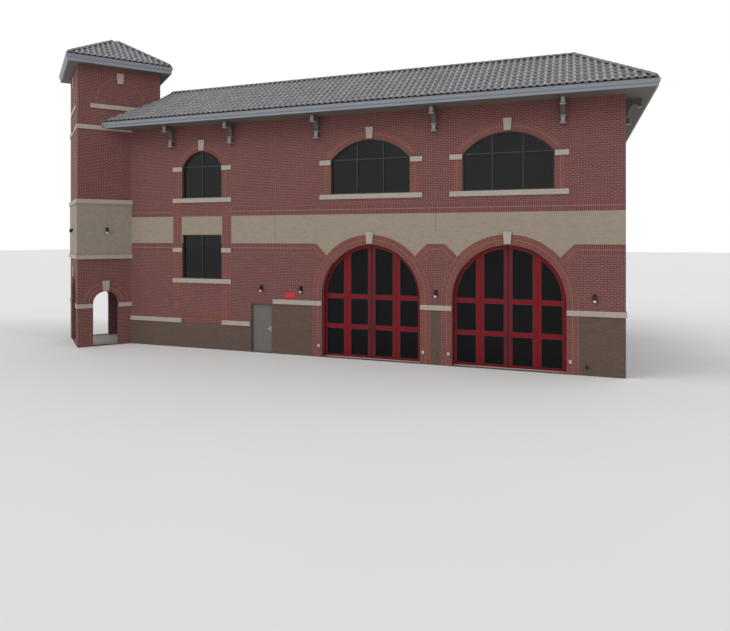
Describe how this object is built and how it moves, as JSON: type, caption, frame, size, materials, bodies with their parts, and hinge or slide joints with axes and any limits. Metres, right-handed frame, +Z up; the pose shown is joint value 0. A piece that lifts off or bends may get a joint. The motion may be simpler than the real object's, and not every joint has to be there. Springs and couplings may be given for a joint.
{
  "type": "fire station building",
  "caption": "Two-storey brick fire station with a corner tower, two arched bay doors, arched upper windows, tiled ring roof, rear annex and a hipped street bay.",
  "frame": {"origin": "on the lowest ground, under the middle of the front range, on the underside of the raft", "axes": "+Z up, +X east along the front wall, +Y from the front wall towards the rear"},
  "size_m": [30.9982, 28.2821, 16.8533],
  "materials": {
    "brick": "matt",
    "concrete": "matt",
    "cast_stone": "matt",
    "stucco": "matt",
    "roof_tiles": "matt",
    "roof_membrane": "matt",
    "soffits": "satin",
    "metal_caps": "satin",
    "glass": "gloss",
    "red_doors": "satin",
    "grey_doors": "satin",
    "pale_doors": "satin",
    "door_frames": "satin",
    "brackets": "matt",
    "fittings": "satin"
  },
  "bodies": {
    "building": {"annex_walls": "brick", "bay_door_east": "red_doors", "bay_door_glass": "glass", "bay_door_west": "red_doors", "bump_roof": "roof_tiles", "bump_walls": "brick", "door_frames": "door_frames", "east_wall": "brick", "eave_brackets": "brackets", "flat_roofs": "roof_membrane", "floor_edge_wall": "concrete", "front_footing": "brick", "front_glass": "glass", "front_wall_bays": "brick", "front_wall_hall": "brick", "ground_floor": "concrete", "gutters": "metal_caps", "keystones": "cast_stone", "outer_floors": "concrete", "parapet_caps": "metal_caps", "raft": "concrete", "rear_glass": "glass", "rear_wall_beside_doors": "brick", "rear_wall_east": "brick", "return_wall": "brick", "roof_deck_block": "roof_membrane", "roof_deck_wing": "roof_membrane", "roof_east": "roof_tiles", "roof_front": "roof_tiles", "roof_rear": "roof_tiles", "roof_return": "roof_tiles", "roof_saddle": "roof_tiles", "roof_street": "roof_tiles", "roof_upstand": "roof_membrane", "roof_wing": "roof_tiles", "room_walls": "brick", "sills_and_imposts": "cast_stone", "soffits": "soffits", "stone_base_band": "cast_stone", "street_glass": "glass", "street_wall": "brick", "tower_roof": "roof_tiles", "tower_stone": "cast_stone", "tower_stucco": "stucco", "tower_wall_corner": "brick", "tower_wall_front": "brick", "tower_wall_inner": "brick", "tower_wall_street": "brick", "upper_floor_block": "concrete", "upper_floor_wing": "concrete", "wall_fittings": "fittings", "walls_over_doors": "brick", "wing_north_wall": "brick"},
    "man_door": {"man_door": "grey_doors"},
    "rear_door_east": {"rear_door_east": "pale_doors"},
    "rear_door_west": {"rear_door_west": "grey_doors"}
  },
  "joints": [
    {"name": "man_door_hinge", "type": "hinge", "parent": "building", "child": "man_door", "pos_m": [-3.077, -10.987, 2], "axis": [0, 0, -1], "range_deg": [0, 90]},
    {"name": "rear_door_east_hinge", "type": "hinge", "parent": "building", "child": "rear_door_east", "pos_m": [-0.138, 10.987, 0.15], "axis": [0, 0, -1], "range_deg": [0, 90]},
    {"name": "rear_door_west_hinge", "type": "hinge", "parent": "building", "child": "rear_door_west", "pos_m": [-3.978, 10.987, 0.15], "axis": [0, 0, -1], "range_deg": [0, 90]}
  ]
}
